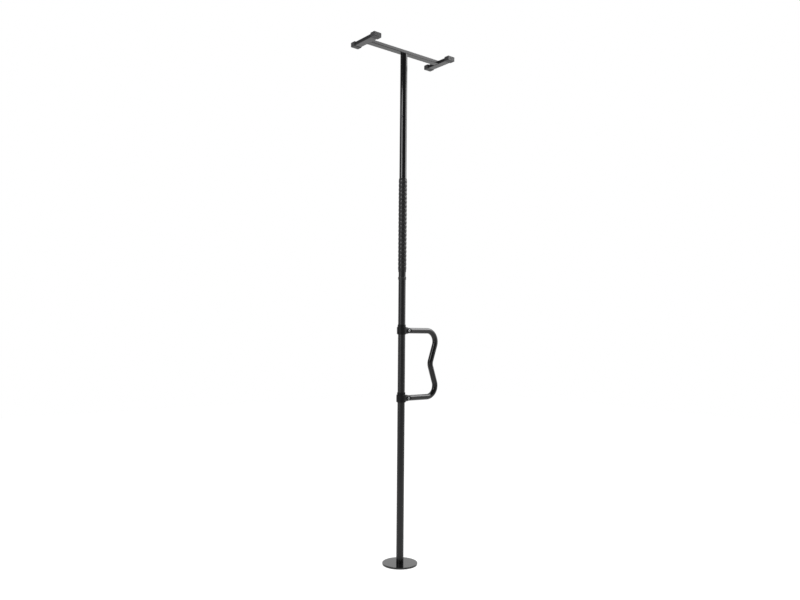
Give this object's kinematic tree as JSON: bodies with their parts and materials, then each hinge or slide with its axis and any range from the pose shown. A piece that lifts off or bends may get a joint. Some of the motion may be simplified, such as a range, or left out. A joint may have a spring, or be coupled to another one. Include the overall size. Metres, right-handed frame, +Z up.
{
  "type": "transfer pole",
  "caption": "Floor-to-ceiling tension pole with round base, ribbed turning grip, H-shaped ceiling bracket with rubber pads and a swivelling double-curve grab bar.",
  "frame": {"origin": "centre of the round base on the floor, on the pole's axis", "axes": "+Z up the pole; X along the ceiling cross bar, +X towards the grab bar at rest; Y along the two short ceiling arms, -Y is the front where the clamp bolt heads are"},
  "size_m": [0.548, 0.2, 2.687],
  "materials": {
    "gloss_black": "gloss black powder coat",
    "grip_rubber": "matte moulded rubber, ribbed",
    "rubber": "matte",
    "black_plastic": "fine moulded texture",
    "steel": "zinc plated",
    "bright_steel": "bright plated",
    "brass": "turned"
  },
  "bodies": {
    "floor_post": {"floor_pad": "rubber", "base_plate": "gloss_black", "base_spigot": "steel", "base_screw": "steel", "lower_tube": "gloss_black", "top_collar": "black_plastic", "screw_anchor": "steel", "jack_screw": "steel", "stop_washer": "steel", "stop_screw": "steel"},
    "ceiling_head": {"cross_bar": "gloss_black", "bar_bush": "steel", "thrust_washer": "black_plastic", "left_arm": "gloss_black", "right_arm": "gloss_black", "left_front_pad": "rubber", "left_rear_pad": "rubber", "right_front_pad": "rubber", "right_rear_pad": "rubber"},
    "turning_pole": {"turning_tube": "gloss_black", "jack_tube": "steel", "jack_nut": "brass", "grip_sleeve": "grip_rubber", "link_tube": "steel", "upper_tube": "gloss_black", "top_plug": "steel", "swivel_bolt": "steel"},
    "lock_button": {"snap_button": "bright_steel", "button_spring": "steel"},
    "bar_liners": {"upper_liner": "black_plastic", "lower_liner": "black_plastic"},
    "grab_bar": {"grab_bar_tube": "gloss_black", "tube_inserts": "black_plastic", "upper_hub": "black_plastic", "lower_hub": "black_plastic", "clamp_bolts": "bright_steel", "clamp_nuts": "bright_steel"}
  },
  "joints": [
    {"name": "ceiling_rise", "type": "slide", "parent": "floor_post", "child": "ceiling_head", "axis": [0, 0, 1], "range_m": [0, 0.1]},
    {"name": "pole_turn", "type": "hinge", "parent": "ceiling_head", "child": "turning_pole", "pos_m": [0, 0, 2.665], "axis": [0, 0, 1], "range_deg": [0, 9000]},
    {"name": "button_press", "type": "slide", "parent": "turning_pole", "child": "lock_button", "axis": [0.866, 0.5, 0], "range_m": [0, 0.0045], "stiffness_N_per_m": 2500, "springref_m": -0.002},
    {"name": "grab_bar_height", "type": "slide", "parent": "floor_post", "child": "bar_liners", "axis": [0, 0, 1], "range_m": [-0.3, 0.2]},
    {"name": "grab_bar_swivel", "type": "hinge", "parent": "bar_liners", "child": "grab_bar", "pos_m": [0, 0, 1.024], "axis": [0, 0, 1], "continuous": true}
  ],
  "couplings": [
    {"joint": "ceiling_rise", "follows": "pole_turn", "m_per_rad": 0.00063662}
  ]
}
